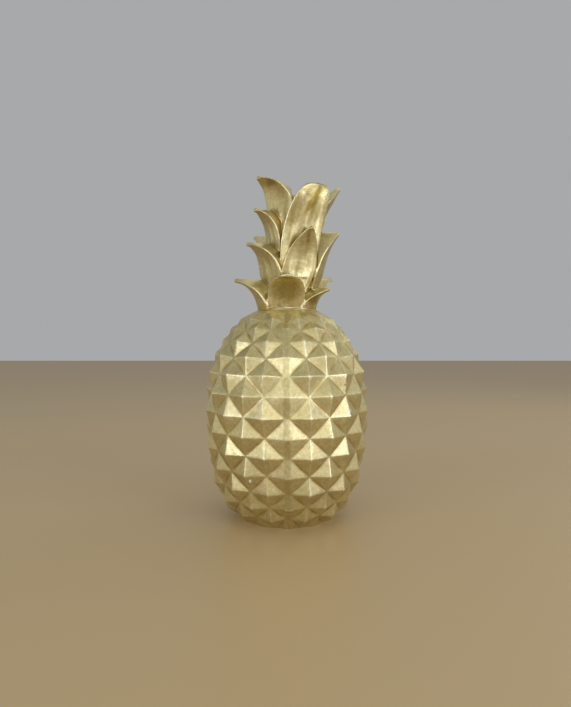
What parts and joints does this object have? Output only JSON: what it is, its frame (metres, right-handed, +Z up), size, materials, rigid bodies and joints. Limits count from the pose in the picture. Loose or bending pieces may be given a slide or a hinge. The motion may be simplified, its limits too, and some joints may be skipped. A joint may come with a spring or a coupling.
{
  "type": "decorative pineapple",
  "caption": "Pineapple ornament in antique gold: a round body of staggered pyramids under a leaning crown of thick pointed leaves, on a flat underside.",
  "frame": {"origin": "centre of the flat underside", "axes": "+Z up towards the crown; -Y is the front, with the mould seam down its middle; +X to the right, where the crown leans"},
  "size_m": [0.1676, 0.1654, 0.3447],
  "materials": {
    "antique_gold": "satin antique gold paint over the casting, darker in the valleys and worn bright along the ridges"
  },
  "bodies": {
    "root": {"pineapple": "antique_gold"}
  },
  "joints": []
}
